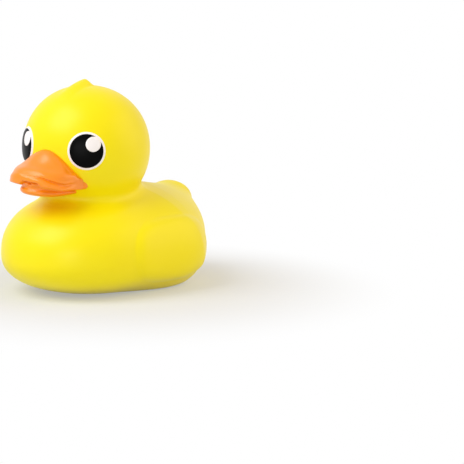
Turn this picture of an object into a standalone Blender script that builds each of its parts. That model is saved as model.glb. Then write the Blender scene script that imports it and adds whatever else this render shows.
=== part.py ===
"""Rubber duck: one hollow vinyl moulding with painted bill and eyes, and a squeaker pressed into its base.

The duck looks along -Y and stands on the plane z = 0, and the middle of its outline is over the origin.
The moulding is a smooth skin, found by pushing the vertices of a sphere outward until they meet the form
of body, tail and head. Wings, crest, bill and eyes are lofted or turned solids joined to it by Boolean
unions. A second skin, one wall further in, is cut out as its hollow, and the squeaker's seat is turned
into the base.
"""

import math

import bmesh
import bpy
import numpy as np
from mathutils import Matrix, Vector

MM = 0.001

# Body of the moulding: an ellipsoid with full sides, longer than it is wide
BODY_HALF_WIDTH = 36.7 * MM
BODY_FRONT = 48.1 * MM
BODY_REAR = 53.2 * MM
BODY_WIDEST_HEIGHT = 16.5 * MM
BODY_RISE = 26.0 * MM
BODY_DEPTH = 19.6 * MM
PLAN_FULLNESS = 2.18
SIDE_FULLNESS = 2.34
BASE_EDGE = 1.5 * MM
BASE_TRIM = 0.2 * MM
WALL = 2.0 * MM

# Tail: a broad wedge from the middle of the body up to a blunt tip, as distance behind the middle and height
TAIL_ROOT = (17.9 * MM, 17.8 * MM)
TAIL_TIP = (53.8 * MM, 36.6 * MM)
TAIL_ROOT_RADIUS = 22.2 * MM
TAIL_TIP_RADIUS = 6.3 * MM
TAIL_SAG = 1.2 * MM
TAIL_FLATTENING = 0.74
TAIL_BLEND = 16.8 * MM

# Head, set forward over the breast
HEAD_RADIUS = 26.15 * MM
HEAD_Y = -10.5 * MM
HEAD_HEIGHT = 60.26 * MM
HEAD_FULLNESS = 2.08
NECK_BLEND = 5.9 * MM

# Crest on the crown: a low ridge that climbs from the forehead and ends in a step
CREST_AHEAD = 12.0 * MM
CREST_LENGTH = 15.5 * MM
CREST_HALF_WIDTH = 5.0 * MM
CREST_HEIGHT = 2.7 * MM
CREST_STEP = 5.0 * MM
CREST_SINK = 0.35 * MM

# Wings: low oval pads on the sides
WING_Y = 4.5 * MM
WING_Z = 18.7 * MM
WING_HALF_LENGTH = 25.0 * MM
WING_HALF_HEIGHT = 14.0 * MM
WING_FRONT_RELIEF = 1.2 * MM
WING_REAR_RELIEF = 2.6 * MM
WING_FULLNESS = 2.5
WING_SINK = 0.35 * MM

# Bill: heights are over the middle of the head, and angles are azimuth from straight ahead and drop.
# The whole bill leans a little toward the duck's left, as the photographed one does.
BILL_LEAN = 5.0
BILL_CORNER_AZIMUTH = 38.7
BILL_ROOT_DROP = 27.0
ROOT_DROP_POWER = 1.75
CORNER_OVERHANG = 0.2 * MM
CORNER_ADVANCE = 0.7 * MM
UPPER_OVERHANG = 11.4 * MM
UPPER_FULLNESS = 3.0
RIDGE_HEIGHT = -8.7 * MM
RIDGE_FALL = 2.3 * MM
RIDGE_INSET = 0.9 * MM
GROOVE_DEPTH = 1.4 * MM
GROOVE_HEIGHT = 1.2 * MM
GROOVE_WIDENING = 0.8 * MM
LIP_ROLL = 0.5 * MM
LIP_BOTTOM = -11.7 * MM
LOBE_DROP = 1.9 * MM
LOBE_SIDE_DROP = 0.6 * MM
DOME_RISE = 1.6 * MM
ROOT_SINK = 0.2 * MM
LOWER_SPREAD = 10.4 * MM
LOWER_ROOT_SHARE = 0.9
LOWER_FORWARD_SHARE = 0.704
LOWER_OVERHANG = 7.8 * MM
LOWER_FULLNESS = 2.3
LOWER_HOLLOW = 1.3 * MM
RIM_CROWN = 0.3 * MM
RIM_TOP = -12.9 * MM
LOWER_BOTTOM = -17.4 * MM

# Eyes: painted discs on low pads, the same on both sides but for the lean
EYE_AZIMUTH = 36.0
EYE_ELEVATION = 2.2
EYE_LEAN = 1.2
EYE_RADIUS = 7.8 * MM
PUPIL_RADIUS = 7.0 * MM
EYE_RELIEF = 0.7 * MM
HIGHLIGHT_RADIUS = 2.5 * MM
HIGHLIGHT_SIDE = 2.3 * MM
HIGHLIGHT_UP = 2.6 * MM
PAINT_RELIEF = 0.15 * MM

# Squeaker: a turned plastic housing that snaps into the hole in the base, with a reed in its bore
SQUEAKER_HOLE_RADIUS = 8.0 * MM
SQUEAKER_FLANGE_RADIUS = 9.6 * MM
SQUEAKER_FLANGE = 1.0 * MM
SQUEAKER_SNAP_RADIUS = 8.8 * MM
SQUEAKER_BODY_RADIUS = 6.5 * MM
SQUEAKER_HEIGHT = 10.0 * MM
SQUEAKER_BORE_RADIUS = 2.6 * MM
SEAT_WALL = 2.0 * MM
REED_BLOCK_LENGTH = 6.0 * MM
REED_THICKNESS = 0.25 * MM
REED_WIDTH = 2.6 * MM
REED_STEP = 0.5 * MM
BORE_STEP = 1.0 * MM
EDGE_CHAMFER = 0.3 * MM
TOP_CHAMFER = 0.5 * MM
MOUTH_CHAMFER = (1.5 * MM, 0.8 * MM)
SNAP_TAPER = 0.6 * MM
SNAP_ROUNDING = 0.4 * MM
FIT = 0.3 * MM

# How far a joined solid reaches into the wall that carries it
BITE = 1.2 * MM
EYE_BITE = 0.5 * MM

SEGMENTS = 48
TURN_STEPS = 32
UPPER_SECTIONS = 27
LOWER_SECTIONS = 19
CREST_SECTIONS = 13
CREST_STEPS = 10
HALF_STEP = math.pi / TURN_STEPS

# Where the rays that find the skin start, and the elevations at which one fan of rays hands to the next
BODY_CENTRE = np.array([0, 0, 12.7 * MM])
NECK_CENTRE = np.array([0, -8.0 * MM, 32.7 * MM])
HEAD_CENTRE = np.array([0, HEAD_Y, HEAD_HEIGHT])
SHOULDER_ELEVATION = 37.0
THROAT_ELEVATION = 25.0
TAIL_CROWDING = 0.35


def smooth_min(a, b, reach):
    """The smaller of two fields, blended by a fillet where they differ by less than reach."""
    h = np.maximum(reach - np.abs(a - b), 0.0) / reach
    return np.minimum(a, b) - h * h * reach / 4


def ellipsoid_field(offset, radii, plan_fullness, side_fullness):
    """Signed field of a superellipsoid, zero on it and about the distance near it.

    Its level sections and its upright ones are superellipses of their own fullness.
    """
    x, y, z = np.moveaxis(np.abs(offset / radii), -1, 0)
    plan = (x**plan_fullness + y**plan_fullness) ** (1 / plan_fullness)
    scaled = (plan**side_fullness + z**side_fullness) ** (1 / side_fullness)
    distance = np.sqrt((offset**2).sum(-1)) + 1e-9
    return distance * (1 - 1 / np.maximum(scaled, 1e-6))


def body_field(points):
    """The body: its radii differ between front and rear, and between above and below its widest height."""
    offset = points - np.array([0, 0, BODY_WIDEST_HEIGHT])
    x, y, z = np.moveaxis(offset, -1, 0)
    radii = np.stack(
        [
            np.full_like(x, BODY_HALF_WIDTH),
            np.where(y < 0, BODY_FRONT, BODY_REAR),
            np.where(z > 0, BODY_RISE, BODY_DEPTH),
        ],
        -1,
    )
    return ellipsoid_field(offset, radii, PLAN_FULLNESS, SIDE_FULLNESS)


def tail_field(points):
    """The tail: a cone with round ends, wider than it is high, whose axis sags between root and tip."""
    root = np.array([0, *TAIL_ROOT])
    along = np.array([0, *TAIL_TIP]) - root
    length = np.linalg.norm(along)
    halfway = np.clip((points[..., 1] - root[1]) / along[1], 0, 1)
    reach = points * np.array([TAIL_FLATTENING, 1, 1]) - root
    reach[..., 2] += TAIL_SAG * 4 * halfway * (1 - halfway)
    share = np.clip((reach @ along) / length**2, 0, 1)
    radius = TAIL_ROOT_RADIUS + (TAIL_TIP_RADIUS - TAIL_ROOT_RADIUS) * share
    off_axis = reach - share[..., None] * along
    return np.sqrt((off_axis**2).sum(-1)) - radius


def duck_field(points):
    """The whole form without its relief: body, tail and head, blended, and cut flat at the base."""
    form = smooth_min(body_field(points), tail_field(points), TAIL_BLEND)
    head_offset = points - HEAD_CENTRE
    head = ellipsoid_field(head_offset, np.full(3, HEAD_RADIUS), HEAD_FULLNESS, HEAD_FULLNESS)
    form = smooth_min(form, head, NECK_BLEND)
    return -smooth_min(-form, points[..., 2] + BASE_TRIM, BASE_EDGE)


def first_surface(origins, directions, inset=0.0, reach=80 * MM, step=2 * MM):
    """Where each ray first leaves the form, or the form less an inset: marched in steps, then halved."""
    low = np.zeros(directions.shape[:-1])
    high = np.full(directions.shape[:-1], reach)
    open_rays = np.ones(directions.shape[:-1], bool)
    for far in np.arange(step, reach, step):
        outside = open_rays & (duck_field(origins + directions * far) > -inset)
        low[outside] = far - step
        high[outside] = far
        open_rays &= ~outside
    for _ in range(20):
        middle = (low + high) / 2
        outside = duck_field(origins + directions * middle[..., None]) > -inset
        high = np.where(outside, middle, high)
        low = np.where(outside, low, middle)
    return origins + directions * ((low + high) / 2)[..., None]


def aim(azimuth, elevation):
    """Unit directions, azimuth measured from straight ahead (-Y) toward +X."""
    azimuth, elevation = np.broadcast_arrays(azimuth, elevation)
    flat = np.cos(elevation)
    return np.stack([flat * np.sin(azimuth), -flat * np.cos(azimuth), np.sin(elevation)], -1)


def skin_rings(coarseness=1, inset=0.0):
    """Rings of points on the form, from the middle of the base to the crown.

    Three fans of rays make them: one from the body, one from the neck that starts where the first ends,
    and one from the head. Each fan sees its stretch of the skin whole, so the rings never fold back.
    The rays are closer together toward the tail, whose tip is far from the middle and sharply curved.
    """
    segments = SEGMENTS // coarseness
    azimuth = np.arange(segments) * 2 * math.pi / segments
    azimuth = azimuth + TAIL_CROWDING * np.sin(azimuth)
    steps = [(8, -90, -30), (6, -30, 10), (10, 10, SHOULDER_ELEVATION)]
    elevations = np.concatenate(
        [np.linspace(low, high, count // coarseness, endpoint=False) for count, low, high in steps]
    )
    elevations = np.radians(np.append(elevations, SHOULDER_ELEVATION))
    body = aim(azimuth[None, :], elevations[:, None])
    body = first_surface(np.broadcast_to(BODY_CENTRE, body.shape), body, inset)
    throat = aim(azimuth, math.radians(THROAT_ELEVATION))
    throat = first_surface(np.broadcast_to(NECK_CENTRE, throat.shape), throat, inset)
    shares = np.linspace(0, 1, 7 // coarseness + 1)[1:, None, None]
    neck = body[-1] * (1 - shares) + throat * shares - NECK_CENTRE
    neck /= np.linalg.norm(neck, axis=-1, keepdims=True)
    neck = first_surface(np.broadcast_to(NECK_CENTRE, neck.shape), neck, inset)
    seen = neck[-1] - HEAD_CENTRE
    start = np.arctan2(seen[:, 2], np.hypot(seen[:, 0], seen[:, 1]))
    turn = np.arctan2(seen[:, 0], -seen[:, 1])
    shares = np.linspace(0, 1, 14 // coarseness + 1)[1:, None]
    head = aim(turn[None, :], start * (1 - shares) + math.pi / 2 * shares)
    head = first_surface(np.broadcast_to(HEAD_CENTRE, head.shape), head, inset)
    rings = np.concatenate([body, neck, head])
    rings[..., 2] = np.maximum(rings[..., 2], inset)
    return rings


def material(name, colour, roughness, metallic=0.0):
    """A Principled material. Its colour is given in linear light."""
    made = bpy.data.materials.new(name)
    made.use_nodes = True
    shader = made.node_tree.nodes["Principled BSDF"]
    shader.inputs["Base Color"].default_value = (*colour, 1)
    shader.inputs["Roughness"].default_value = roughness
    shader.inputs["Metallic"].default_value = metallic
    made.diffuse_color = (*colour, 1)
    return made


def add_object(name, mesh, collection, paint):
    """A new object in its collection with one material."""
    made = bpy.data.objects.new(name, mesh)
    collection.objects.link(made)
    mesh.materials.append(paint)
    mesh.shade_smooth()
    return made


def sphere_skin(name, collection, paint, coarseness=1, inset=0.0):
    """A UV sphere whose vertices are moved to the rings of the form, or of that form less an inset."""
    rings = skin_rings(coarseness, inset)
    last, segments = len(rings) - 1, rings.shape[1]
    mesh = bpy.data.meshes.new(name)
    shape = bmesh.new()
    bmesh.ops.create_uvsphere(shape, u_segments=segments, v_segments=last, radius=1)
    for vertex in shape.verts:
        x, y, z = vertex.co
        ring = round((math.asin(max(min(z, 1), -1)) / math.pi + 0.5) * last)
        column = round(math.atan2(x, -y) / (2 * math.pi) * segments) % segments
        vertex.co = rings[ring, column]
    shape.to_mesh(mesh)
    shape.free()
    return add_object(name, mesh, collection, paint)


def ring_solid(name, rings, collection, paint):
    """A closed solid through rings of points. The first and last ring shrink to one point each."""
    mesh = bpy.data.meshes.new(name)
    shape = bmesh.new()
    first = shape.verts.new(np.mean(rings[0], axis=0))
    last = shape.verts.new(np.mean(rings[-1], axis=0))
    rows = [[shape.verts.new(point) for point in ring] for ring in rings[1:-1]]
    count = len(rows[0])
    for k in range(count):
        after = (k + 1) % count
        shape.faces.new((first, rows[0][after], rows[0][k]))
        shape.faces.new((last, rows[-1][k], rows[-1][after]))
        for lower, upper in zip(rows, rows[1:]):
            shape.faces.new((lower[k], lower[after], upper[after], upper[k]))
    bmesh.ops.recalc_face_normals(shape, faces=shape.faces)
    shape.to_mesh(mesh)
    shape.free()
    return add_object(name, mesh, collection, paint)


def turned(name, profile, collection, paint, steps=TURN_STEPS):
    """A turned solid: a profile of radius and height, from top to bottom down its outer side."""
    mesh = bpy.data.meshes.new(name)
    points = [(radius, 0, height) for radius, height in profile]
    edges = [(k, k + 1) for k in range(len(points) - 1)]
    if points[0][0] > 0:
        edges.append((len(points) - 1, 0))
    mesh.from_pydata(points, edges, [])
    made = add_object(name, mesh, collection, paint)
    screw = made.modifiers.new("Turn", "SCREW")
    screw.steps = steps
    screw.render_steps = steps
    screw.use_merge_vertices = True
    screw.merge_threshold = 0.01 * MM
    return made


def join(target, tool, operation):
    """A Boolean of the tool on the target. Its colours stay with its faces."""
    cut = target.modifiers.new(f"{operation.title()} {tool.name}", "BOOLEAN")
    cut.operation = operation
    cut.object = tool
    cut.material_mode = "TRANSFER"
    tool.hide_render = True
    tool.display_type = "WIRE"


def head_point(azimuth, elevation, radius):
    """A point seen from the middle of the head, azimuth measured from straight ahead toward +X."""
    return HEAD_CENTRE + aim(azimuth, elevation) * radius


def smooth_step(value, low, high):
    """Zero below low and one above high, with an even curve between them."""
    share = min(max((value - low) / (high - low), 0), 1)
    return share * share * (3 - 2 * share)


def lip_outline(turn, spread, forward, reach, fullness):
    """Plan of a lip from corner to corner: a half superellipse, as distance to the side and forward."""
    across = np.sign(np.sin(turn)) * np.abs(np.sin(turn)) ** (2 / fullness) * spread
    ahead = forward + (reach - forward) * np.abs(np.cos(turn)) ** (2 / fullness)
    return across, ahead


def corner_to_corner(sections):
    """Turns from one corner of the mouth to the other, closer together at the corners."""
    return np.sin(np.linspace(-1, 1, sections) * math.pi / 2) * math.pi / 2


def inside_head(azimuth, height):
    """A point one bite inside the head's surface, at a height over the middle of the head."""
    elevation = math.asin(height / HEAD_RADIUS)
    return head_point(azimuth, elevation, HEAD_RADIUS - BITE / math.cos(elevation))


def lean_bill(rings):
    """The rings turned about the head's level axis, so that the bill is lower on the duck's left."""
    lean = math.radians(BILL_LEAN)
    turned_rings = []
    for ring in rings:
        x, y, z = (np.array(ring) - HEAD_CENTRE).T
        leaned = np.stack([x * math.cos(lean) + z * math.sin(lean), y, z * math.cos(lean) - x * math.sin(lean)], -1)
        turned_rings.append(leaned + HEAD_CENTRE)
    return turned_rings


def upper_bill_rings(sections=UPPER_SECTIONS):
    """Sections of the upper bill from corner to corner: root, dome, ridge, groove, rolled lip and palate."""
    rings = []
    up = np.array([0, 0, 1])
    corner_azimuth = math.radians(BILL_CORNER_AZIMUTH)
    corner = aim(corner_azimuth, -math.radians(BILL_ROOT_DROP)) * HEAD_RADIUS
    spread = corner[0] + CORNER_OVERHANG
    forward = -corner[1] + CORNER_ADVANCE
    for turn in corner_to_corner(sections):
        side = abs(turn) / (math.pi / 2)
        azimuth = corner_azimuth * turn / (math.pi / 2)
        drop = math.radians(BILL_ROOT_DROP) * side**ROOT_DROP_POWER
        root = head_point(azimuth, -drop, HEAD_RADIUS)
        across, ahead = lip_outline(turn, spread, forward, HEAD_RADIUS + UPPER_OVERHANG, UPPER_FULLNESS)
        edge = np.array([across, HEAD_Y - ahead, HEAD_HEIGHT])
        outward = (edge - root) * np.array([1, 1, 0])
        outward /= np.linalg.norm(outward)
        fading = 1 - smooth_step(side, 0.75, 1.0)
        ridge_height = RIDGE_HEIGHT - RIDGE_FALL * smooth_step(side, 0.05, 0.75)
        band_top = ridge_height - GROOVE_HEIGHT - GROOVE_WIDENING * smooth_step(side, 0.1, 0.45)
        bottom = LIP_BOTTOM - LOBE_DROP * smooth_step(side, 0.05, 0.25)
        bottom -= LOBE_SIDE_DROP * smooth_step(side, 0.3, 0.7)
        ridge = edge - outward * RIDGE_INSET * fading + up * ridge_height
        rise = DOME_RISE * (1 - side**2)
        dome = [
            root + (ridge - root) * share + up * bulge * rise
            for share, bulge in ((0.2, 0.9), (0.4, 0.7), (0.6, 0.0), (0.8, -0.6), (0.93, -0.3))
        ]
        band = band_top - bottom
        rings.append([
            inside_head(azimuth, root[2] - HEAD_HEIGHT - ROOT_SINK),
            root,
            *dome,
            ridge,
            edge - outward * GROOVE_DEPTH * fading + up * (ridge_height + band_top) / 2,
            edge + up * band_top,
            edge + outward * LIP_ROLL * fading + up * (band_top - 0.4 * band),
            edge + outward * LIP_ROLL * 0.6 * fading + up * (bottom + 0.2 * band),
            edge - outward * LIP_ROLL + up * bottom,
            inside_head(azimuth, bottom),
        ])
    return lean_bill(rings)


def lower_bill_rings(sections=LOWER_SECTIONS):
    """Sections of the lower bill: mouth floor, rolled rim, the hollow under it and the roll at the chin."""
    rings = []
    up = np.array([0, 0, 1])
    for turn in corner_to_corner(sections):
        side = abs(turn) / (math.pi / 2)
        reach = HEAD_RADIUS + LOWER_OVERHANG
        forward = LOWER_FORWARD_SHARE * HEAD_RADIUS
        across, ahead = lip_outline(turn, LOWER_SPREAD, forward, reach, LOWER_FULLNESS)
        lip = np.array([across, HEAD_Y - ahead, HEAD_HEIGHT + RIM_TOP])
        depth = (RIM_TOP - LOWER_BOTTOM) * (1 - 0.3 * side**3)
        chin = inside_head(math.atan2(across * LOWER_ROOT_SHARE, forward), RIM_TOP - depth)
        root = chin + up * depth
        inward = (root - lip) * np.array([1, 1, 0])
        inward /= np.linalg.norm(inward)
        hollow = LOWER_HOLLOW * (1 - side**4)
        rings.append([
            root,
            lip + inward * LOWER_HOLLOW * 2,
            lip + inward * LOWER_HOLLOW * 0.5 + up * RIM_CROWN,
            lip - up * 0.16 * depth,
            lip - up * 0.32 * depth,
            lip + inward * hollow - up * 0.52 * depth,
            lip - up * 0.74 * depth,
            lip + inward * LOWER_HOLLOW - up * 0.97 * depth,
            chin,
        ])
    return lean_bill(rings)


def crest_rings(sections=CREST_SECTIONS, across_steps=CREST_STEPS):
    """Sections across the crest, from the forehead to the step behind the crown."""
    rings = []
    start = HEAD_Y - CREST_AHEAD
    for share in np.linspace(0, 1, sections):
        y = start + CREST_LENGTH * share
        climb = min(share * CREST_LENGTH / (CREST_LENGTH - CREST_STEP), 1)
        fall = np.clip((1 - share) * CREST_LENGTH / CREST_STEP, 0, 1)
        height = CREST_HEIGHT * climb**1.3 * math.sin(fall * math.pi / 2)
        width = CREST_HALF_WIDTH * math.sqrt(max(1 - (2 * share - 1) ** 4, 0))
        ring = []
        for turn in np.linspace(0, 2 * math.pi, across_steps, endpoint=False):
            x = width * math.cos(turn)
            crown = HEAD_HEIGHT + math.sqrt(HEAD_RADIUS**2 - x**2 - (y - HEAD_Y) ** 2)
            lift = height * math.sin(turn) if turn < math.pi else BITE * math.sin(turn)
            ring.append((x, y, crown + lift - CREST_SINK))
        rings.append(ring)
    return rings


def wing_rings(side, rings_out=6, around=28):
    """Rings of a wing pad, from the middle of its outer face over its rim to the middle of its back."""
    turn = np.linspace(0, 2 * math.pi, around, endpoint=False)
    round_y = np.sign(np.cos(turn)) * np.abs(np.cos(turn)) ** (2 / WING_FULLNESS)
    round_z = np.sign(np.sin(turn)) * np.abs(np.sin(turn)) ** (2 / WING_FULLNESS)
    shares = np.linspace(0, 1, rings_out) ** 0.8
    rings = []
    for share, face in [(s, 1) for s in shares] + [(s, 0) for s in shares[::-1]]:
        y = WING_Y + WING_HALF_LENGTH * share * round_y
        z = WING_Z + WING_HALF_HEIGHT * share * round_z
        origins = np.stack([np.zeros_like(y), y, z], -1)
        sideways = np.broadcast_to([side, 0, 0], origins.shape)
        on_skin = first_surface(origins, sideways)
        toward_rear = (y - WING_Y) / WING_HALF_LENGTH / 2 + 0.5
        relief = WING_FRONT_RELIEF + (WING_REAR_RELIEF - WING_FRONT_RELIEF) * toward_rear
        lift = relief * (1 - share**5) - WING_SINK if face else np.full_like(y, -BITE)
        rings.append(on_skin + sideways * lift[:, None])
    return rings


def eye_matrix(side, across=0.0, up=0.0):
    """A frame at the middle of the head whose +Z looks out through a point of the eye."""
    azimuth = side * math.radians(EYE_AZIMUTH) + across / HEAD_RADIUS
    elevation = math.radians(EYE_ELEVATION - side * EYE_LEAN) + up / HEAD_RADIUS
    outward = Vector(aim(azimuth, elevation)).to_track_quat("Z", "Y")
    return Matrix.Translation(HEAD_CENTRE) @ outward.to_matrix().to_4x4()


def eye_profile(radius, top):
    """Profile of a domed disc that follows the head: its radii step out from the axis to the rim."""
    face = [(r, math.sqrt(top**2 - r**2)) for r in np.linspace(0, radius, 4)]
    rim = face[-1][1] - EYE_RELIEF - EYE_BITE
    return face + [(radius, rim), (0, rim)]


def add_eyes(shell, tools, white, black):
    """White disc, black pupil and white highlight on each side, each a little proud of the one below."""
    top = HEAD_RADIUS + EYE_RELIEF
    layers = [
        ("eye_white", EYE_RADIUS, top, white, 0, 0, 0),
        ("eye_pupil", PUPIL_RADIUS, top + PAINT_RELIEF, black, 0, 0, HALF_STEP),
        ("eye_highlight", HIGHLIGHT_RADIUS, top + 2 * PAINT_RELIEF, white, HIGHLIGHT_SIDE, HIGHLIGHT_UP, 0),
    ]
    for side, place in ((1, "left"), (-1, "right")):
        for name, radius, height, paint, across, up, spin in layers:
            disc = turned(f"{name}_{place}", eye_profile(radius, height), tools, paint)
            disc.matrix_world = eye_matrix(side, across, up) @ Matrix.Rotation(spin, 4, "Z")
            join(shell, disc, "UNION")


def add_squeaker_seat(shell, tools, paint):
    """A thick ring in the base, recessed for the flange and bored for the housing."""
    recess = SQUEAKER_FLANGE + 2 * FIT
    boss_radius = SQUEAKER_FLANGE_RADIUS + FIT + WALL
    boss = turned(
        "seat_boss",
        [(0, recess + SEAT_WALL), (boss_radius, recess + SEAT_WALL), (boss_radius, WALL / 2), (0, WALL / 2)],
        tools,
        paint,
    )
    boss.rotation_euler.z = HALF_STEP
    join(shell, boss, "UNION")
    recess_radius = SQUEAKER_FLANGE_RADIUS + FIT
    bore = turned(
        "seat_bore",
        [
            (0, recess + SEAT_WALL + WALL),
            (SQUEAKER_HOLE_RADIUS, recess + SEAT_WALL + WALL),
            (SQUEAKER_HOLE_RADIUS, recess),
            (recess_radius, recess),
            (recess_radius, -WALL),
            (0, -WALL),
        ],
        tools,
        paint,
    )
    join(shell, bore, "DIFFERENCE")


def add_squeaker(parts, plastic, brass):
    """The housing with its flange, snap groove and bore, and the reed on its half-round block."""
    flange_top = FIT + SQUEAKER_FLANGE
    groove_top = flange_top + SEAT_WALL + 2 * FIT
    snap_top = groove_top + SQUEAKER_FLANGE
    groove_radius = SQUEAKER_HOLE_RADIUS - FIT
    top = FIT + SQUEAKER_HEIGHT
    turned(
        "squeaker_housing",
        [
            (SQUEAKER_BORE_RADIUS, top),
            (SQUEAKER_BODY_RADIUS - TOP_CHAMFER, top),
            (SQUEAKER_BODY_RADIUS, top - TOP_CHAMFER),
            (SQUEAKER_BODY_RADIUS, snap_top + SNAP_TAPER),
            (SQUEAKER_SNAP_RADIUS, snap_top - SNAP_ROUNDING),
            (SQUEAKER_SNAP_RADIUS, groove_top),
            (groove_radius, groove_top),
            (groove_radius, flange_top),
            (SQUEAKER_FLANGE_RADIUS, flange_top),
            (SQUEAKER_FLANGE_RADIUS, FIT + EDGE_CHAMFER),
            (SQUEAKER_FLANGE_RADIUS - EDGE_CHAMFER, FIT),
            (SQUEAKER_BORE_RADIUS + MOUTH_CHAMFER[0], FIT),
            (SQUEAKER_BORE_RADIUS, FIT + MOUTH_CHAMFER[1]),
        ],
        parts,
        plastic,
    )
    block_radius = SQUEAKER_BORE_RADIUS - FIT
    block_base = top - REED_BLOCK_LENGTH - BORE_STEP
    half_turn = np.linspace(0, math.pi, 13)
    flat_y = -FIT - REED_THICKNESS
    outline = [(block_radius * math.cos(a), flat_y - math.sin(a) * (block_radius + flat_y)) for a in half_turn]
    prism("reed_block", outline, block_base, REED_BLOCK_LENGTH, parts, plastic)
    half = REED_WIDTH / 2
    strip = [(-half, 0), (half, 0), (half, REED_THICKNESS), (-half, REED_THICKNESS)]
    prism("squeaker_reed", strip, block_base + REED_STEP, REED_BLOCK_LENGTH, parts, brass)


def prism(name, outline, base, height, collection, paint):
    """A flat outline raised along +Z."""
    mesh = bpy.data.meshes.new(name)
    shape = bmesh.new()
    face = shape.faces.new([shape.verts.new((x, y, base)) for x, y in outline])
    raised = bmesh.ops.extrude_face_region(shape, geom=[face])["geom"]
    moved = [item for item in raised if isinstance(item, bmesh.types.BMVert)]
    bmesh.ops.translate(shape, verts=moved, vec=(0, 0, height))
    bmesh.ops.recalc_face_normals(shape, faces=shape.faces)
    shape.to_mesh(mesh)
    shape.free()
    return add_object(name, mesh, collection, paint)


def clear_scene():
    """An empty scene to build in."""
    for item in list(bpy.data.objects):
        bpy.data.objects.remove(item, do_unlink=True)


def add_collection(name):
    """A collection under the scene's own."""
    made = bpy.data.collections.new(name)
    bpy.context.scene.collection.children.link(made)
    return made


def add_shell(parts, tools, yellow, orange, white, black):
    """The moulding: skin and wall, seat of the squeaker, wings, crest, bill and eyes."""
    shell = sphere_skin("duck_shell", parts, yellow)
    for side, place in ((1, "left"), (-1, "right")):
        join(shell, ring_solid(f"wing_{place}", wing_rings(side), tools, yellow), "UNION")
    join(shell, ring_solid("crest", crest_rings(), tools, yellow), "UNION")
    join(shell, ring_solid("bill_upper", upper_bill_rings(), tools, orange), "UNION")
    join(shell, ring_solid("bill_lower", lower_bill_rings(), tools, orange), "UNION")
    add_eyes(shell, tools, white, black)
    join(shell, sphere_skin("hollow", tools, yellow, 2, WALL), "DIFFERENCE")
    add_squeaker_seat(shell, tools, yellow)
    return shell


def centre_on_origin(shell, name):
    """Hangs everything under an empty that puts the middle of the shell's outline over the origin."""
    bpy.context.view_layer.update()
    corners = [Vector(corner) for corner in shell.evaluated_get(bpy.context.evaluated_depsgraph_get()).bound_box]
    middle = [(min(c[k] for c in corners) + max(c[k] for c in corners)) / 2 for k in (0, 1)]
    frame = bpy.data.objects.new(name, None)
    bpy.context.scene.collection.objects.link(frame)
    frame.location = (-middle[0], -middle[1], 0)
    for item in bpy.data.objects:
        if item is not frame:
            item.parent = frame
    bpy.context.view_layer.update()


def main():
    clear_scene()
    parts = add_collection("rubber_duck")
    tools = add_collection("shapes_joined_and_cut")
    yellow = material("soft_yellow_vinyl", (0.95, 0.72, 0.01), 0.45)
    orange = material("orange_paint_gloss", (0.96, 0.28, 0.01), 0.25)
    white = material("white_paint_gloss", (0.90, 0.87, 0.86), 0.25)
    black = material("black_paint_gloss", (0.006, 0.007, 0.008), 0.15)
    plastic = material("white_polyethylene", (0.85, 0.85, 0.82), 0.4)
    brass = material("brass_strip", (0.80, 0.58, 0.22), 0.3, 1.0)
    shell = add_shell(parts, tools, yellow, orange, white, black)
    add_squeaker(parts, plastic, brass)
    centre_on_origin(shell, "duck_frame")


main()
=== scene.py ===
"""Rubber duck: the fine surface and the paint of a hollow vinyl bath duck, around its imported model."""

import math

import bpy
import numpy as np
from mathutils import Matrix, Vector


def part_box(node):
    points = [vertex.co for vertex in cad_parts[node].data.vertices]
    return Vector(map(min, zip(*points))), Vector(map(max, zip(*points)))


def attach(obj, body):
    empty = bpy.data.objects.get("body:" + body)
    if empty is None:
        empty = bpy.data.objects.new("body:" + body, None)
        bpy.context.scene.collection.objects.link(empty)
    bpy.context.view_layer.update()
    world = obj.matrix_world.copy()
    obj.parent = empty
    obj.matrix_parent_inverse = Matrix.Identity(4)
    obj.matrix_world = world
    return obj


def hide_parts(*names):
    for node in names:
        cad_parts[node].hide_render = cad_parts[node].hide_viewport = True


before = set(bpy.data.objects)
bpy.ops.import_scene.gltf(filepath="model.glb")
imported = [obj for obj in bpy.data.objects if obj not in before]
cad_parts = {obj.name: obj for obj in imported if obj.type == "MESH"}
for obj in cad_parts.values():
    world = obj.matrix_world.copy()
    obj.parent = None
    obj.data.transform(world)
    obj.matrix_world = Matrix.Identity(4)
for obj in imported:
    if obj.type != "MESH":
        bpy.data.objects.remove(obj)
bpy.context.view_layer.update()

# Camera. It stands ahead of the duck and to its left, a little above the level of its breast.
# A fixed point over the base is aimed at, and then the camera is turned until the duck stands left of the middle.

MM = 0.001
PICTURE = 464
FOCAL_PIXELS = 1250.0
CAMERA_AZIMUTH = math.radians(37.0)
CAMERA_ELEVATION = math.radians(6.21)
CAMERA_DISTANCE = 540.0
AIM_HEIGHT = 41.7
AIM_PIXEL = (101.53, 189.24)
SENSOR = 36.0
# This file measures from the middle of the base hole, which the squeaker's housing fills
housing_low, housing_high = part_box("squeaker_housing")
FORWARD_SHIFT = (housing_low.y + housing_high.y) / 2 / MM


def in_row_frame(points):
    """Points in millimetres, measured from the middle of the hole in the base, as metres in the model's frame."""
    return (np.asarray(points, float) + [0, FORWARD_SHIFT, 0]) * MM


camera_back = np.array([
    math.sin(CAMERA_AZIMUTH) * math.cos(CAMERA_ELEVATION),
    -math.cos(CAMERA_AZIMUTH) * math.cos(CAMERA_ELEVATION),
    math.sin(CAMERA_ELEVATION),
])
camera_data = bpy.data.cameras.new("camera")
camera_data.sensor_width = SENSOR
camera_data.lens = FOCAL_PIXELS * SENSOR / PICTURE
camera_data.clip_start = 0.05
camera_data.clip_end = 20.0
camera = bpy.data.objects.new("camera", camera_data)
bpy.context.scene.collection.objects.link(camera)
bpy.context.scene.camera = camera
camera.location = in_row_frame(np.array([0, 0, AIM_HEIGHT]) + camera_back * CAMERA_DISTANCE)
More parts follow.
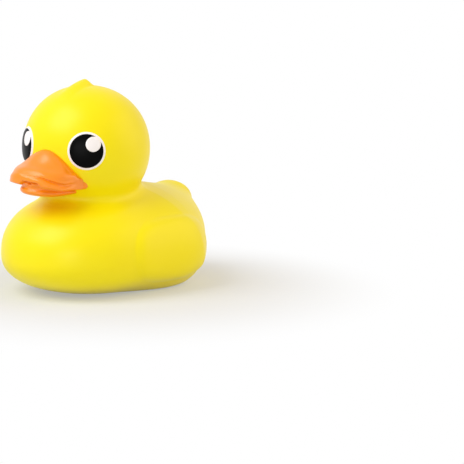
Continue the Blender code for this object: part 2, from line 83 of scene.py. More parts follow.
# The turn that puts the aimed point on its pixel and shows the world's up straight up there
across = (AIM_PIXEL[0] - PICTURE / 2) / FOCAL_PIXELS
above = (PICTURE / 2 - AIM_PIXEL[1]) / FOCAL_PIXELS


def two_way_frame(ray, up):
    """Three unit columns: along a ray, along the part of up that is square to it, and across both."""
    ray = Vector(ray).normalized()
    level = (Vector(up) - ray * ray.dot(Vector(up))).normalized()
    return Matrix((ray, level, ray.cross(level))).transposed()


seen = two_way_frame(-camera_back, (0, 0, 1))
shown = two_way_frame((across, above, -1), (0, 1, 0))
camera.rotation_euler = (seen @ shown.transposed()).to_euler()


# Moulding. One hollow skin of soft PVC vinyl makes body, neck, head, crest, tail and wings, cast in a
# single mould, so nothing on it is joined. Its wall turns in at the base round the squeaker's hole.

BODY_HALF_WIDTH = 35.6
BODY_FRONT = 48.1
BODY_REAR = 51.0
BODY_WIDEST_HEIGHT = 16.5
BODY_RISE = 26.0
BODY_DEPTH = 17.8
REAR_DEEPENING = 2.0
PLAN_FULLNESS = 2.18
SIDE_FULLNESS = 2.34
BASE_EDGE = 1.5
BASE_TRIM = 0.2
WALL = 2.0
TAIL_ROOT = (17.9, 19.3)
TAIL_TIP = (52.5, 35.0)
TAIL_ROOT_RADIUS = 20.9
TAIL_TIP_RADIUS = 6.5
TAIL_SAG = 1.5
TAIL_FLATTENING = 0.64
TAIL_BLEND = 18.3
HEAD_RADIUS = 26.15
HEAD_CENTRE = np.array([0, -10.1, 60.26])
HEAD_FULLNESS = 2.08
NECK_BLEND = 5.9
BODY_CENTRE = np.array([0, 0, 12.7])
NECK_CENTRE = np.array([0, -8.0, 32.7])
CREST_START = -28.0
CREST_TOP = -11.7
CREST_END = -8.9
CREST_HEIGHT = 2.5
CREST_HALF_WIDTH = 4.4
WING_Y = 4.5
WING_Z = 18.7
WING_HALF_LENGTH = 25.0
WING_HALF_HEIGHT = 14.0
WING_FRONT_RELIEF = 1.8
WING_REAR_RELIEF = 1.5
WING_FULLNESS = 2.5
WING_EDGE_BLEND = 0.25
HOLE_RADIUS = 8.0
RECESS_RADIUS = 9.9
RECESS_DEPTH = 1.6
SEAT_TOP = 3.6
BOSS_RADIUS = 11.9
SEGMENTS = 288


def smooth_step(value, low, high):
    """Zero below low, one above high, and between them three times the share squared less twice its cube."""
    share = np.clip((value - low) / (high - low), 0, 1)
    return share * share * (3 - 2 * share)


def smooth_min(a, b, reach):
    """The smaller of two fields, blended by a fillet where they differ by less than reach."""
    overlap = np.maximum(reach - np.abs(a - b), 0) / reach
    return np.minimum(a, b) - overlap**2 * reach / 4


def ellipsoid_field(offset, radii, plan_fullness, side_fullness):
    """Distance from the middle, less the distance to the superellipsoid on the same ray.

    Its level sections and its upright ones are superellipses, each with its own power.
    """
    x, y, z = np.moveaxis(np.abs(offset / radii), -1, 0)
    plan = (x**plan_fullness + y**plan_fullness) ** (1 / plan_fullness)
    scaled = (plan**side_fullness + z**side_fullness) ** (1 / side_fullness)
    distance = np.sqrt((offset**2).sum(-1)) + 1e-9
    return distance * (1 - 1 / np.maximum(scaled, 1e-6))


def body_field(points):
    """A superellipsoid whose radii differ between front and rear, and above and below its widest height."""
    x, y, z = np.moveaxis(points - [0, 0, BODY_WIDEST_HEIGHT], -1, 0)
    radii = np.stack([
        np.full_like(x, BODY_HALF_WIDTH),
        np.where(y < 0, BODY_FRONT, BODY_REAR),
        np.where(z > 0, BODY_RISE, BODY_DEPTH + REAR_DEEPENING * smooth_step(y, -20, 30)),
    ], -1)
    return ellipsoid_field(np.stack([x, y, z], -1), radii, PLAN_FULLNESS, SIDE_FULLNESS)


def tail_field(points):
    """Distance to a sagging line from tail root to tail tip, less a radius that shrinks along it, widened in X."""
    root = np.array([0, *TAIL_ROOT])
    along = np.array([0, *TAIL_TIP]) - root
    halfway = np.clip((points[..., 1] - root[1]) / along[1], 0, 1)
    reach = points * [TAIL_FLATTENING, 1, 1] - root
    reach[..., 2] += TAIL_SAG * 4 * halfway * (1 - halfway)
    share = np.clip(reach @ along / (along @ along), 0, 1)
    radius = TAIL_ROOT_RADIUS + (TAIL_TIP_RADIUS - TAIL_ROOT_RADIUS) * share
    return np.sqrt(((reach - share[..., None] * along) ** 2).sum(-1)) - radius


def wing_lift(points):
    """How far a wing stands off the side: a plateau inside a superellipse, higher toward the rear."""
    x, y, z = np.moveaxis(points, -1, 0)
    out_y = np.abs((y - WING_Y) / WING_HALF_LENGTH) ** WING_FULLNESS
    out_z = np.abs((z - WING_Z) / WING_HALF_HEIGHT) ** WING_FULLNESS
    rim = (out_y + out_z) ** (1 / WING_FULLNESS)
    plateau = -smooth_min(rim**12 - 1, 0 * rim, WING_EDGE_BLEND)
    rearward = np.clip((y - WING_Y) / WING_HALF_LENGTH / 2 + 0.5, 0, 1)
    relief = WING_FRONT_RELIEF + (WING_REAR_RELIEF - WING_FRONT_RELIEF) * rearward
    return np.maximum(plateau, 0) * relief * smooth_step(np.abs(x), 12, 20)


def crest_lift(points):
    """How far the crest stands off the crown: a slow climb along Y, a quick fall, and a bell across X."""
    x, y, z = np.moveaxis(points, -1, 0)
    climb = np.clip((y - CREST_START) / (CREST_TOP - CREST_START), 0, 1) ** 1.15
    fall = 1 - smooth_step(y, CREST_TOP, CREST_END)
    bell = np.clip(1 - (x / CREST_HALF_WIDTH) ** 2, 0, 1) ** 1.6
    return CREST_HEIGHT * climb * fall * bell * smooth_step(z, 66, 76)


def duck_field(points, relief=1.0):
    """Body, tail and head blended, less the relief of wings and crest, and cut flat at the base."""
    form = smooth_min(body_field(points), tail_field(points), TAIL_BLEND)
    head = ellipsoid_field(points - HEAD_CENTRE, np.full(3, HEAD_RADIUS), HEAD_FULLNESS, HEAD_FULLNESS)
    form = smooth_min(form, head, NECK_BLEND)
    if relief:
        form = form - relief * (wing_lift(points) + crest_lift(points))
    return -smooth_min(-form, points[..., 2] + BASE_TRIM, BASE_EDGE)


def first_surface(origin, directions, inset=0.0, relief=1.0):
    """Where each ray first leaves the form less an inset: marched in steps of 2 mm, then halved 18 times."""
    low = np.zeros(directions.shape[:-1])
    high = np.full(directions.shape[:-1], 80.0)
    inside = np.ones(directions.shape[:-1], bool)
    for far in np.arange(4.0, 80.0, 2.0):
        left = inside & (duck_field(origin + directions * far, relief) > -inset)
        low[left], high[left] = far - 2.0, far
        inside &= ~left
    for _ in range(18):
        middle = (low + high) / 2
        outside = duck_field(origin + directions * middle[..., None], relief) > -inset
        high, low = np.where(outside, middle, high), np.where(outside, low, middle)
    return origin + directions * high[..., None]


def aim(azimuth, elevation):
    """Unit vectors, azimuth measured from straight ahead (-Y) toward +X."""
    azimuth, elevation = np.broadcast_arrays(azimuth, elevation)
    flat = np.cos(elevation)
    return np.stack([flat * np.sin(azimuth), -flat * np.cos(azimuth), np.sin(elevation)], -1)


def skin_rings(counts, first_elevation, inset, relief):
    """Rings round the form from the base to the crown, found by fans of rays from body, neck and head.

    The neck's fan starts where the body's ends, and the head's where the neck's ends, so no ring folds back.
    """
    azimuth = np.arange(SEGMENTS) * 2 * math.pi / SEGMENTS
    bends = [first_elevation, -30, 10, 37]
    elevation = [np.linspace(a, b, n, endpoint=False) for a, b, n in zip(bends, bends[1:], counts)]
    elevation = np.radians(np.append(np.concatenate(elevation), bends[-1]))
    body = first_surface(BODY_CENTRE, aim(azimuth[None], elevation[:, None]), inset, relief)
    throat = first_surface(NECK_CENTRE, aim(azimuth, math.radians(25.0)), inset, relief)
    share = np.linspace(0, 1, counts[3] + 1)[1:, None, None]
    neck = body[-1] * (1 - share) + throat * share - NECK_CENTRE
    neck = first_surface(NECK_CENTRE, neck / np.linalg.norm(neck, axis=-1, keepdims=True), inset, relief)
    seen = neck[-1] - HEAD_CENTRE
    start = np.arctan2(seen[:, 2], np.hypot(seen[:, 0], seen[:, 1]))
    turn = np.arctan2(seen[:, 0], -seen[:, 1])
    share = np.linspace(0, 1, counts[4] + 1)[1:, None]
    head = aim(turn[None], start * (1 - share) + math.pi / 2 * share)
    head = first_surface(HEAD_CENTRE, head, inset, relief)
    rings = np.concatenate([body, neck, head])
    rings[..., 2] = np.maximum(rings[..., 2], inset)
    return rings


def circles(profile):
    """Level circles about the Z axis, one for each radius and height of a profile."""
    azimuth = np.arange(SEGMENTS) * 2 * math.pi / SEGMENTS
    radius, height = np.array(profile, float).T[:, :, None]
    return np.stack([radius * np.sin(azimuth), -radius * np.cos(azimuth), height + 0 * azimuth], -1)


def surface_object(name, rings, sharp_degrees=40.0):
    """A closed surface through rings of points. The first and last ring each shrink to their middle."""
    count = rings.shape[1]
    poles = np.stack([rings[0].mean(0), rings[-1].mean(0)])
    rows = rings[1:-1]
    points = np.concatenate([rows.reshape(-1, 3), poles])
    here = np.arange(len(rows) * count).reshape(len(rows), count)
    after = np.roll(here, -1, axis=1)
    quads = np.stack([here[:-1], after[:-1], after[1:], here[1:]], -1).reshape(-1, 4)
    low_pole, high_pole = len(points) - 2, len(points) - 1
    start = np.stack([after[0], here[0], np.full(count, low_pole)], -1)
    end = np.stack([here[-1], after[-1], np.full(count, high_pole)], -1)
    mesh = bpy.data.meshes.new(name)
    mesh.from_pydata(in_row_frame(points), [], quads.tolist() + start.tolist() + end.tolist())
    mesh.shade_smooth()
    mesh.set_sharp_from_angle(angle=math.radians(sharp_degrees))
    made = bpy.data.objects.new(name, mesh)
    bpy.context.scene.collection.objects.link(made)
    return made


def linear(hex_colour):
    """A colour written as sRGB hex, turned to linear light, with an alpha of one."""
    parts = np.array([int(hex_colour[k:k + 2], 16) for k in (1, 3, 5)]) / 255
    light = np.where(parts <= 0.04045, parts / 12.92, ((parts + 0.055) / 1.055) ** 2.4)
    return (*light, 1.0)


def add_node(tree, kind, inputs=None, **settings):
    """Adds a node. Settings are its properties, and inputs are socket values or the sockets that feed them."""
    made = tree.nodes.new(kind)
    for name, value in settings.items():
        setattr(made, name, value)
    for name, value in (inputs or {}).items():
        if isinstance(value, bpy.types.NodeSocket):
            tree.links.new(value, made.inputs[name])
        else:
            made.inputs[name].default_value = value
    return made


def new_material(name):
    """An empty node material, its tree and its output."""
    made = bpy.data.materials.new(name)
    made.use_nodes = True
    made.node_tree.nodes.clear()
    return made, made.node_tree, add_node(made.node_tree, "ShaderNodeOutputMaterial")


# Soft PVC cast in a satin mould: an even lemon yellow with a dull, wide shine and a faint bloom of
# slightly paler patches. The mould's own grain is about 0.3 mm and only breaks up the shine.
VINYL_YELLOW = "#faea02"
VINYL_PALE = "#fbed04"
VINYL_PATCH = 9.0
VINYL_GRAIN = 0.3
vinyl, tree, output = new_material("cast_vinyl_satin_yellow")
place = add_node(tree, "ShaderNodeTexCoord")
patches = add_node(tree, "ShaderNodeTexNoise", {"Vector": place.outputs["Object"], "Scale": 1 / (VINYL_PATCH * MM), "Detail": 2.0})
yellow = add_node(
    tree, "ShaderNodeMix",
    {0: patches.outputs["Fac"], 6: linear(VINYL_YELLOW), 7: linear(VINYL_PALE)}, data_type="RGBA",
)
grain = add_node(tree, "ShaderNodeTexNoise", {"Vector": place.outputs["Object"], "Scale": 1 / (VINYL_GRAIN * MM), "Detail": 1.0})
shine = add_node(tree, "ShaderNodeMapRange", {"Value": patches.outputs["Fac"], "To Min": 0.35, "To Max": 0.41})
bump = add_node(tree, "ShaderNodeBump", {"Height": grain.outputs["Fac"], "Strength": 0.05, "Distance": 0.02 * MM})
shader = add_node(tree, "ShaderNodeBsdfPrincipled", {
    "Base Color": yellow.outputs[2],
    "Roughness": shine.outputs["Result"],
    "Normal": bump.outputs["Normal"],
    "IOR": 1.5,
    "Specular IOR Level": 0.3,
})
tree.links.new(shader.outputs["BSDF"], output.inputs["Surface"])

outer = skin_rings((22, 40, 36, 34, 84), -58.3, 0.0, 1.0)
inner = skin_rings((8, 10, 10, 8, 18), -50.0, WALL, 0.0)
seat = circles([
    (BOSS_RADIUS, WALL), (BOSS_RADIUS, SEAT_TOP), (HOLE_RADIUS + 0.2, SEAT_TOP), (HOLE_RADIUS, SEAT_TOP - 0.2),
    (HOLE_RADIUS, RECESS_DEPTH + 0.2), (HOLE_RADIUS + 0.2, RECESS_DEPTH), (RECESS_RADIUS, RECESS_DEPTH),
    (RECESS_RADIUS, 0.3), (RECESS_RADIUS + 0.1, 0.08), (RECESS_RADIUS + 0.3, 0.0),
])
skin = surface_object("moulded_skin", np.concatenate([inner[:0:-1], seat, outer[1:]]))
skin.data.materials.append(vinyl)
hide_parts("duck_shell")
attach(skin, "root")


# Eyes. Each is a low domed pad of the moulding, sprayed through a mask: a white disc, a black pupil in its
# middle and a small white light in the pupil. The paint is gloss and stands a little proud of the skin.

EYE_AZIMUTH = 35.9
EYE_TURN = 1.3
EYE_ELEVATION = 2.2
EYE_LEAN = 1.2
EYE_RADIUS = 7.9
PUPIL_RADIUS = 7.4
LIGHT_RADIUS = 3.4
LIGHT_SIDE = 2.6
LIGHT_UP = 2.6
EYE_RELIEF = 0.45
PAINT_RELIEF = 0.12
PAD_DEPTH = 0.5


def eye_disc(name, side, radius, relief, across=0.0, up=0.0):
    """A disc on the head: rays in a cone find the skin, and its face is lifted less toward the rim."""
    azimuth = math.radians(EYE_TURN + side * EYE_AZIMUTH) + across / HEAD_RADIUS
    elevation = math.radians(EYE_ELEVATION - side * EYE_LEAN) + up / HEAD_RADIUS
    outward = aim(azimuth, elevation)
    sideways = np.array([math.cos(azimuth), math.sin(azimuth), 0])
    upward = np.cross(sideways, outward) * -1
    turn = np.arange(96) * 2 * math.pi / 96
    share = np.concatenate([np.linspace(0, 0.86, 12), np.sin(np.linspace(math.asin(0.88), math.pi / 2, 9))])
    spread = share[:, None] * radius / HEAD_RADIUS
    rays = outward * np.cos(spread)[..., None] + np.sin(spread)[..., None] * (
        sideways * np.cos(turn)[None, :, None] + upward * np.sin(turn)[None, :, None]
    )
    seat = first_surface(HEAD_CENTRE, rays)
    lift = (relief + PAD_DEPTH) * np.sqrt(np.clip(1 - share**10, 0, 1)) - PAD_DEPTH
    face = seat + rays * lift[:, None, None]
    back = (seat - rays * PAD_DEPTH)[::-1][1:]
    return surface_object(name, np.concatenate([face, back])[::-1])


# Gloss paint: alkyd black and a slightly pinkish white, so each shows a clean soft window of light
black_paint, tree, output = new_material("gloss_black_paint")
shader = add_node(tree, "ShaderNodeBsdfPrincipled", {
    "Base Color": linear("#030303"), "Roughness": 0.3, "IOR": 1.5, "Specular IOR Level": 0.05,
})
tree.links.new(shader.outputs["BSDF"], output.inputs["Surface"])
white_paint, tree, output = new_material("gloss_white_paint")
shader = add_node(tree, "ShaderNodeBsdfPrincipled", {
    "Base Color": linear("#fbf9fc"), "Roughness": 0.3, "IOR": 1.5, "Specular IOR Level": 0.3,
})
tree.links.new(shader.outputs["BSDF"], output.inputs["Surface"])

for side, hand in ((1, "left"), (-1, "right")):
    discs = [
        (eye_disc(f"eye_white_{hand}", side, EYE_RADIUS, EYE_RELIEF), white_paint),
        (eye_disc(f"eye_pupil_{hand}", side, PUPIL_RADIUS, EYE_RELIEF + PAINT_RELIEF), black_paint),
        (eye_disc(f"eye_light_{hand}", side, LIGHT_RADIUS, EYE_RELIEF + 2 * PAINT_RELIEF, LIGHT_SIDE, LIGHT_UP), white_paint),
    ]
    for disc, paint in discs:
        disc.data.materials.append(paint)
        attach(disc, "root")


# Bill. Part of the same moulding and sprayed a glossy orange. The upper bill rises from the face as a dome,
# flares to a ridge, drops into a shallow groove and ends in a rolled lip. The lower bill is a smaller scoop
# under it with a rolled rim and a vent pinhole in its middle.

BILL_LEAN = 5.0
CORNER_AZIMUTH = 36.8
ROOT_TOP = 1.3
ROOT_DROP = 26.6
ROOT_BOW = 0.55
CORNER_OVERHANG = 0.2
CORNER_ADVANCE = 0.7
UPPER_OVERHANG = 11.3
UPPER_FULLNESS = 3.0
RIDGE_INSET = 0.9
RIDGE_HEIGHT = -8.7
RIDGE_FALL = 2.3
GROOVE_DEPTH = 1.1
RIDGE_CORNER_RISE = 0.8
GROOVE_HEIGHT = 1.1
GROOVE_WIDENING = 0.8
LIP_ROLL = 0.5
LIP_BOTTOM = -11.7
LOBE_DROP = 1.8
LOBE_SIDE_DROP = 0.5
MOUTH_SHIFT = 1.5
LIP_END_RADIUS = 2.0
LOWER_SPREAD = 10.4
LOWER_FORWARD = 18.4
LOWER_REACH = 36.4
LOWER_FULLNESS = 2.3
LOWER_ROOT = 22.0
RIM_TOP = -11.4
LOWER_BOTTOM = -17.2
PINHOLE_RADIUS = 0.7
PINHOLE_DEPTH = 1.8


def spline_through(controls, steps=6):
    """A uniform cubic B-spline along the second axis of a grid of control points, with its ends clamped."""
    first, last = controls[:, :1], controls[:, -1:]
    padded = np.concatenate([first, first, controls, last, last], axis=1)
    share = (np.arange(steps) / steps)[:, None]
    weights = [
        (1 - share) ** 3 / 6, (3 * share**3 - 6 * share**2 + 4) / 6,
        (-3 * share**3 + 3 * share**2 + 3 * share + 1) / 6, share**3 / 6,
    ]
    spans = padded.shape[1] - 3
    parts = [padded[:, k:k + spans, None] * weights[k] for k in range(4)]
    curve = sum(parts).reshape(len(controls), spans * steps, 3)
    return np.concatenate([curve, last], axis=1)


def lip_plan(turn, spread, forward, reach, fullness):
    """Plan of a lip from corner to corner, as half a superellipse about the middle of the head."""
    across = np.sign(np.sin(turn)) * np.abs(np.sin(turn)) ** (2 / fullness) * spread
    ahead = forward + (reach - forward) * np.abs(np.cos(turn)) ** (2 / fullness)
    return np.stack([across, -ahead, 0 * turn], -1)


def stations(sections, cap_steps):
    """Turns from corner to corner, close together at the corners, and for each how far its end cap has closed."""
    turn = np.sin(np.linspace(-1, 1, sections) * math.pi / 2) * math.pi / 2
    cap = np.linspace(0, math.pi / 2, cap_steps + 1)[1:]
    turn = np.concatenate([np.full(cap_steps, turn[0]), turn, np.full(cap_steps, turn[-1])])
    return turn, np.concatenate([cap[::-1], np.zeros(sections), cap])


def at(base, outward, out, height):
    """A point at a level distance out from the plan line and at a height over the middle of the head."""
    point = base + outward * np.broadcast_to(out, base.shape[:1])[:, None]
    point[:, 2] = height
    return point


def bill_loops(controls, turn, cap, cap_radius):
    """Closed loops through rows of control points, shrunk to a point on a rounded cap at each end.

    They are then turned about the head's level axis, because the bill leans toward the duck's left.
    """
    loops = spline_through(np.stack(controls, 1))
    middle = loops.mean(1, keepdims=True)
    shrink = np.cos(cap)[:, None, None]
    sideways = np.stack([0.8 * np.sign(turn), 0.6 + 0 * turn, 0 * turn], -1)
    round_end = (sideways * (np.sin(cap) * cap_radius)[:, None])[:, None]
    x, y, z = np.moveaxis(middle + (loops - middle) * shrink + round_end, -1, 0)
    lean = math.radians(BILL_LEAN)
    return np.stack([x * math.cos(lean) + z * math.sin(lean), y, z * math.cos(lean) - x * math.sin(lean)], -1) + HEAD_CENTRE


def upper_bill():
    """Loops of the upper bill: under the skin, root, dome, ridge, groove, rolled lip, palate and back inside.

    The dome follows the straight line from root to ridge with a bulge at each share of it. In the middle it
    swells near the root and flattens into a brim, and at the sides it is nearly level before it drops.
    """
    turn, cap = stations(150, 8)
    side = np.abs(turn) / (math.pi / 2)
    corner_azimuth = math.radians(CORNER_AZIMUTH)
    corner = aim(corner_azimuth, math.radians(ROOT_TOP - ROOT_DROP)) * HEAD_RADIUS
    spread, forward = corner[0] + CORNER_OVERHANG, CORNER_ADVANCE - corner[1]
    plan = lip_plan(turn, spread, forward, HEAD_RADIUS + UPPER_OVERHANG, UPPER_FULLNESS)
    azimuth = corner_azimuth * turn / (math.pi / 2)
    drop = ROOT_DROP * side**2 * (1 + ROOT_BOW * (1 - side)) - ROOT_TOP
    root = aim(azimuth, -np.radians(drop)) * HEAD_RADIUS
    outward = (plan - root) * [1, 1, 0]
    outward /= np.linalg.norm(outward, axis=-1, keepdims=True)
    fading = 1 - smooth_step(side, 0.75, 1.0)
    ridge = RIDGE_HEIGHT - RIDGE_FALL * smooth_step(side, 0.05, 0.75)
    ridge = ridge + RIDGE_CORNER_RISE * smooth_step(side, 0.6, 1.0)
    grooved = smooth_step(turn, -0.25, 0.6)
    band_top = ridge - GROOVE_HEIGHT - GROOVE_WIDENING * smooth_step(side, 0.1, 0.45)
    lobe = smooth_step(np.abs(plan[:, 0] - MOUTH_SHIFT), 3.2, 5.6)
    bottom = LIP_BOTTOM - LOBE_DROP * lobe - LOBE_SIDE_DROP * smooth_step(side, 0.3, 0.7)
    band = band_top - bottom
    rounded = 1 - grooved
    inset = RIDGE_INSET * grooved
    ridge_point = at(plan, outward, -(inset + 0.1 * rounded) * fading, ridge)
    toward_side = smooth_step(side, 0.2, 0.7) * (1 - smooth_step(side, 0.85, 1.0))
    up = np.array([0, 0, 1])
    dome = [
        root + (ridge_point - root) * share + up * (middle + (flank - middle) * toward_side)[:, None]
        for share, middle, flank in (
            (0.12, 0.6, 0.5), (0.26, 0.6, 1.0), (0.42, -0.1, 1.4), (0.58, -0.4, 1.7), (0.74, 0.1, 1.9), (0.88, 0.5, 1.6),
        )
    ]
    deep = aim(azimuth, np.arctan2(root[:, 2] - 1.0, 20.0)) * 22.0
    palate = aim(azimuth, np.arctan2(bottom, 22.0)) * 22.0
    palate[:, 2] = bottom
    controls = [
        deep,
        root * 0.985,
        root,
        *dome,
        at(plan, outward, -(inset + 0.5) * fading, ridge + 0.35),
        ridge_point,
        at(plan, outward, (0.2 * rounded - 0.25 * grooved - inset) * fading, ridge - 0.25 * (ridge - band_top)),
        at(plan, outward, (0.4 * rounded - GROOVE_DEPTH * grooved - inset) * fading, (ridge + band_top) / 2),
        at(plan, outward, (0.5 * rounded - 0.5 * grooved) * fading, band_top + 0.1),
        at(plan, outward, LIP_ROLL * fading, band_top - 0.25 * band),
        at(plan, outward, LIP_ROLL * 1.2 * fading, band_top - 0.6 * band),
        at(plan, outward, (LIP_ROLL * 0.4 + 0.3 * rounded) * fading, bottom + 0.1 * band),
        at(plan, outward, 0.3 * rounded - 1.0, bottom - 0.1),
        at(plan, outward, -3.5, bottom),
        palate,
        (palate + deep) / 2,
        deep,
    ]
    return bill_loops(controls, turn, cap, LIP_END_RADIUS)


def lower_bill():
    """Loops of the lower bill: mouth floor, rolled rim, hollow under it, lower roll and chin."""
    turn, cap = stations(150, 8)
    side = np.abs(turn) / (math.pi / 2)
    plan = lip_plan(turn, LOWER_SPREAD, LOWER_FORWARD, LOWER_REACH, LOWER_FULLNESS)
    root = aim(np.arctan2(plan[:, 0] * 0.9, LOWER_FORWARD), np.arctan2(-15.0, 20.0)) * LOWER_ROOT
    outward = (plan - root) * [1, 1, 0]
    outward /= np.linalg.norm(outward, axis=-1, keepdims=True)
    top = RIM_TOP - 1.6 * smooth_step(side, 0.3, 0.8)
    bottom = LOWER_BOTTOM + 0.7 * smooth_step(side, 0.4, 1.0)
    height = top - bottom
    controls = [
        at(root, outward, 0.0, top - 1.0),
        at(plan, outward, -5.0, top - 0.2),
        at(plan, outward, -2.2, top + 0.3),
        at(plan, outward, -0.9, top + 0.1),
        at(plan, outward, 0.2, top - 0.12 * height),
        at(plan, outward, 0.3, top - 0.26 * height),
        at(plan, outward, -0.5, top - 0.38 * height),
        at(plan, outward, -0.7, top - 0.54 * height),
        at(plan, outward, 0.2, top - 0.68 * height),
        at(plan, outward, 0.2, top - 0.86 * height),
        at(plan, outward, -1.0, bottom - 0.1),
        at(plan, outward, -3.0, bottom - 0.2),
        at(root, outward, 2.0, bottom),
        at(root, outward, 0.0, bottom + 0.5),
        at(root, outward, 0.0, (top + bottom) / 2),
        at(root, outward, 0.0, top - 1.0),
    ]
    loops = bill_loops(controls, turn, cap, 1.0)
    low_of_rim = HEAD_CENTRE[2] + RIM_TOP - 0.9
    away = (loops[..., 0] - math.sin(math.radians(BILL_LEAN)) * RIM_TOP) ** 2 + (loops[..., 2] - low_of_rim) ** 2
    in_front = loops[..., 1] < HEAD_CENTRE[1] - LOWER_REACH + 4
    loops[..., 1] += PINHOLE_DEPTH * np.exp(-away / PINHOLE_RADIUS**2) * in_front
    return loops


# Gloss enamel over vinyl: bright orange, with a soft window of light on the dome and crisp ones on the lips
orange_paint, tree, output = new_material("gloss_orange_paint")
place = add_node(tree, "ShaderNodeTexCoord")
spray = add_node(tree, "ShaderNodeTexNoise", {"Vector": place.outputs["Object"], "Scale": 1 / (6 * MM), "Detail": 2.0})
orange = add_node(
    tree, "ShaderNodeMix",
    {0: spray.outputs["Fac"], 6: linear("#fc8f02"), 7: linear("#fd9404")}, data_type="RGBA",
)
shader = add_node(tree, "ShaderNodeBsdfPrincipled", {
    "Base Color": orange.outputs[2], "Roughness": 0.28, "IOR": 1.5, "Specular IOR Level": 0.42,
    "Coat Weight": 0.25, "Coat Roughness": 0.12,
})
tree.links.new(shader.outputs["BSDF"], output.inputs["Surface"])

for name, loops in (("bill_upper", upper_bill()), ("bill_lower", lower_bill())):
    bill = surface_object(name, loops[:, :-1], 60.0)
    bill.data.materials.append(orange_paint)
    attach(bill, "root")


# Squeaker. A turned polyethylene housing pressed into the base hole, with a half-round block and a brass
# reed in its bore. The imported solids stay, and get their finish here.

plastic, tree, output = new_material("moulded_polyethylene")
place = add_node(tree, "ShaderNodeTexCoord")
cloud = add_node(tree, "ShaderNodeTexNoise", {"Vector": place.outputs["Object"], "Scale": 1 / (2 * MM), "Detail": 2.0})
shine = add_node(tree, "ShaderNodeMapRange", {"Value": cloud.outputs["Fac"], "To Min": 0.38, "To Max": 0.5})
shader = add_node(tree, "ShaderNodeBsdfPrincipled", {
    "Base Color": linear("#eeeeea"), "Roughness": shine.outputs["Result"], "IOR": 1.51,
})
tree.links.new(shader.outputs["BSDF"], output.inputs["Surface"])

brass, tree, output = new_material("rolled_brass_strip")
place = add_node(tree, "ShaderNodeTexCoord")
along = add_node(tree, "ShaderNodeMapping", {"Vector": place.outputs["Object"], "Scale": (1.0, 1.0, 0.05)})
rolled = add_node(tree, "ShaderNodeTexNoise", {"Vector": along.outputs["Vector"], "Scale": 1 / (0.2 * MM), "Detail": 2.0})
shine = add_node(tree, "ShaderNodeMapRange", {"Value": rolled.outputs["Fac"], "To Min": 0.22, "To Max": 0.36})
shader = add_node(tree, "ShaderNodeBsdfPrincipled", {
    "Base Color": linear("#e3bd68"), "Roughness": shine.outputs["Result"], "Metallic": 1.0,
})
tree.links.new(shader.outputs["BSDF"], output.inputs["Surface"])

for node_name, finish in (("squeaker_housing", plastic), ("reed_block", plastic), ("squeaker_reed", brass)):
    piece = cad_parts[node_name]
    piece.data.materials.clear()
    piece.data.materials.append(finish)


# Floor and lights. A white floor that shows pure white to the camera away from the duck's shadow, a white
# room, and large soft lamps: the main one high on the picture's left, a weak one on the right.

floor_mesh = bpy.data.meshes.new("floor")
reach = 6.0
floor_mesh.from_pydata([(-reach, -reach, 0), (reach, -reach, 0), (reach, reach, 0), (-reach, reach, 0)], [], [(0, 1, 2, 3)])
floor = bpy.data.objects.new("floor", floor_mesh)
bpy.context.scene.collection.objects.link(floor)

white_floor, tree, output = new_material("white_paper_floor")
ray = add_node(tree, "ShaderNodeLightPath")
seen = add_node(tree, "ShaderNodeMath", {0: ray.outputs["Is Camera Ray"], 1: ray.outputs["Is Glossy Ray"]}, operation="MAXIMUM")
seen = add_node(tree, "ShaderNodeMath", {0: seen.outputs[0], 1: ray.outputs["Is Transmission Ray"]}, operation="MAXIMUM")
paper = add_node(tree, "ShaderNodeBsdfDiffuse", {"Color": (0.75, 0.78, 0.84, 1.0)})
white = add_node(tree, "ShaderNodeEmission", {"Color": (1.0, 1.0, 1.0, 1.0), "Strength": 1.0})
place = add_node(tree, "ShaderNodeTexCoord")
away = add_node(tree, "ShaderNodeVectorMath", {0: place.outputs["Object"]}, operation="LENGTH")
fade = add_node(tree, "ShaderNodeMapRange", {
    "Value": away.outputs["Value"], "From Min": 0.045, "From Max": 0.13, "To Min": 0.35, "To Max": 1.0,
}, interpolation_type="SMOOTHSTEP")
share = add_node(tree, "ShaderNodeMath", {0: seen.outputs[0], 1: fade.outputs["Result"]}, operation="MULTIPLY")
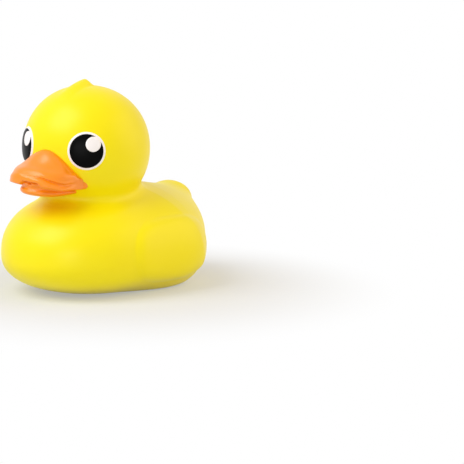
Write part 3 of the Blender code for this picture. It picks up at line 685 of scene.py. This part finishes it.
mixed = add_node(tree, "ShaderNodeMixShader", {0: share.outputs[0], 1: paper.outputs[0], 2: white.outputs[0]})
tree.links.new(mixed.outputs[0], output.inputs["Surface"])
floor_mesh.materials.append(white_floor)

room = bpy.data.worlds.new("white_room")
bpy.context.scene.world = room
room.use_nodes = True
tree = room.node_tree
tree.nodes.clear()
ray = add_node(tree, "ShaderNodeLightPath")
seen = add_node(tree, "ShaderNodeMath", {0: ray.outputs["Is Camera Ray"], 1: ray.outputs["Is Glossy Ray"]}, operation="MAXIMUM")
seen = add_node(tree, "ShaderNodeMath", {0: seen.outputs[0], 1: ray.outputs["Is Transmission Ray"]}, operation="MAXIMUM")
strength = add_node(tree, "ShaderNodeMapRange", {"Value": seen.outputs[0], "To Min": 0.52, "To Max": 1.0})
tint = add_node(
    tree, "ShaderNodeMix",
    {0: seen.outputs[0], 6: (1.0, 0.89, 0.74, 1.0), 7: (1.0, 1.0, 1.0, 1.0)}, data_type="RGBA",
)
sky = add_node(tree, "ShaderNodeBackground", {"Color": tint.outputs[2], "Strength": strength.outputs["Result"]})
world_output = add_node(tree, "ShaderNodeOutputWorld", {"Surface": sky.outputs[0]})


def add_lamp(name, azimuth, elevation, distance, size, power, colour=(1.0, 1.0, 1.0)):
    """A square soft lamp that faces the duck. Azimuth is measured from straight ahead of it toward +X."""
    data = bpy.data.lights.new(name, "AREA")
    data.shape = "SQUARE"
    data.size = size
    data.energy = power
    data.color = colour
    lamp = bpy.data.objects.new(name, data)
    bpy.context.scene.collection.objects.link(lamp)
    outward = aim(math.radians(azimuth), math.radians(elevation))
    lamp.location = in_row_frame([0, 0, AIM_HEIGHT] + outward * distance)
    lamp.rotation_euler = (math.pi / 2 - math.radians(elevation), 0, math.radians(azimuth))
    return lamp


add_lamp("softbox_left", -22.0, 47.0, 700.0, 0.5, 2.8)
add_lamp("softbox_front", 24.0, 0.0, 700.0, 0.3, 1.0)
add_lamp("warm_bounce", 125.0, 22.0, 700.0, 0.6, 1.8, (1.0, 0.8, 0.55))

bpy.context.scene.view_settings.view_transform = "Standard"
